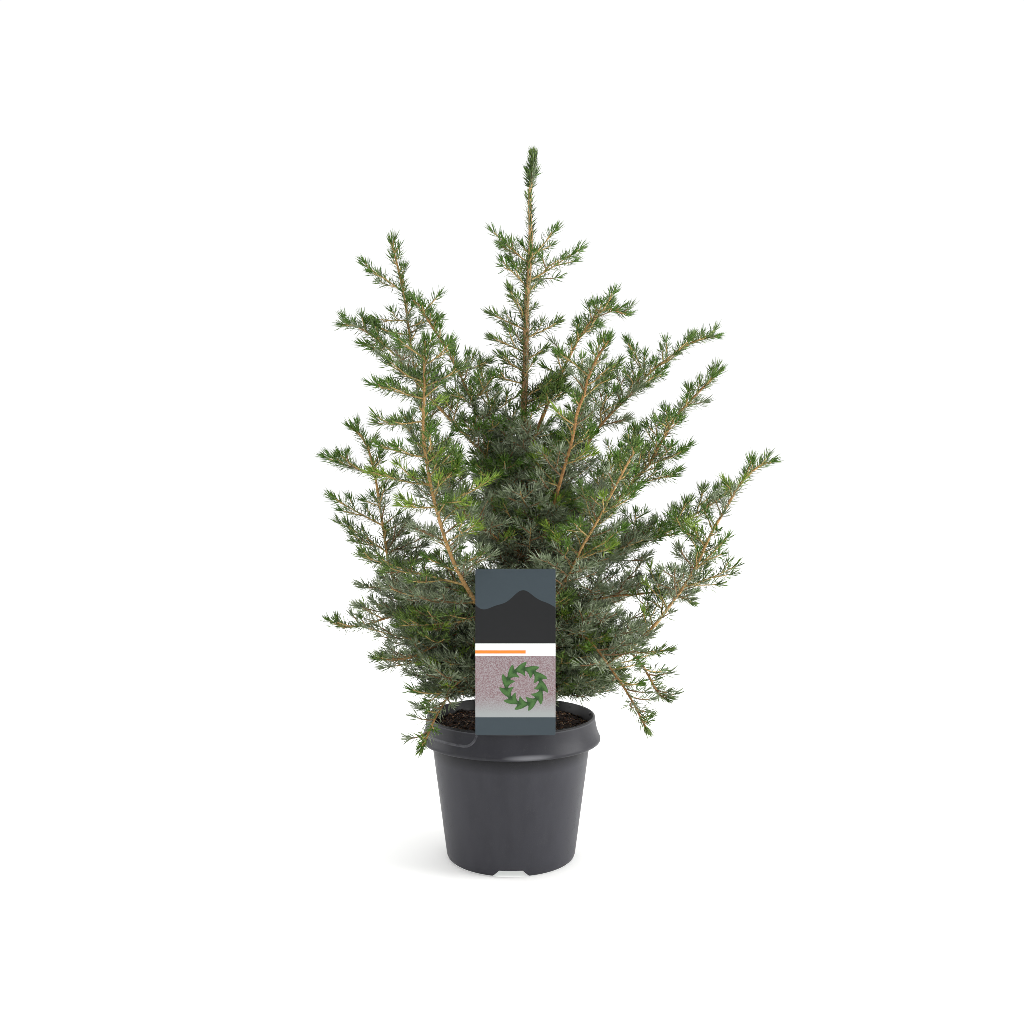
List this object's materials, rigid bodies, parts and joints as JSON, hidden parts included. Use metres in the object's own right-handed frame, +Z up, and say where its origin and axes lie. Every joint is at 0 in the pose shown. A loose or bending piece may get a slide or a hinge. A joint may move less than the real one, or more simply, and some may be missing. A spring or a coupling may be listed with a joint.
{
  "type": "potted serbian spruce",
  "caption": "Young conifer with a leaning stem, upswept boughs and short needles, standing in a grey plastic pot with a plain printed label card.",
  "frame": {"origin": "centre of the pot's flat underside, at its central foot", "axes": "+Z up along the pot's axis and the stem, -Y towards the label at the front, +X to the right as seen from the front"},
  "size_m": [0.5642, 0.4285, 0.908],
  "materials": {
    "pot_plastic": "dark grey moulded polypropylene, satin",
    "soil": "dark brown peat and composted bark, crumbly",
    "label_print": null,
    "stake_plastic": "light grey plastic strip",
    "bark": "orange-brown to grey-brown scaly bark",
    "needles": "short flat needles, dark green above and blue-grey below"
  },
  "bodies": {
    "root": {"bough_back": "bark", "bough_back_high_left": "bark", "bough_back_high_right": "bark", "bough_back_left": "bark", "bough_back_low_left": "bark", "bough_back_low_right": "bark", "bough_back_right": "bark", "bough_far_left": "bark", "bough_far_right": "bark", "bough_front_left": "bark", "bough_front_middle": "bark", "bough_front_right": "bark", "bough_front_short": "bark", "bough_high_left": "bark", "bough_high_right": "bark", "bough_inner_left": "bark", "bough_inner_right": "bark", "bough_low_front_left": "bark", "bough_low_left": "bark", "bough_low_right": "bark", "bough_right": "bark", "bough_rim_front": "bark", "bough_rim_left": "bark", "bough_rim_right": "bark", "bough_upper_left": "bark", "bough_upper_right": "bark", "label_card": "label_print", "label_stake": "stake_plastic", "needles_back": "needles", "needles_back_high_left": "needles", "needles_back_high_right": "needles", "needles_back_left": "needles", "needles_back_low_left": "needles", "needles_back_low_right": "needles", "needles_back_right": "needles", "needles_far_left": "needles", "needles_far_right": "needles", "needles_front_left": "needles", "needles_front_middle": "needles", "needles_front_right": "needles", "needles_front_short": "needles", "needles_high_left": "needles", "needles_high_right": "needles", "needles_inner_left": "needles", "needles_inner_right": "needles", "needles_leader_low": "needles", "needles_leader_top": "needles", "needles_low_front_left": "needles", "needles_low_left": "needles", "needles_low_right": "needles", "needles_right": "needles", "needles_rim_front": "needles", "needles_rim_left": "needles", "needles_rim_right": "needles", "needles_upper_left": "needles", "needles_upper_right": "needles", "pot": "pot_plastic", "soil": "soil", "trunk": "bark"}
  },
  "joints": []
}
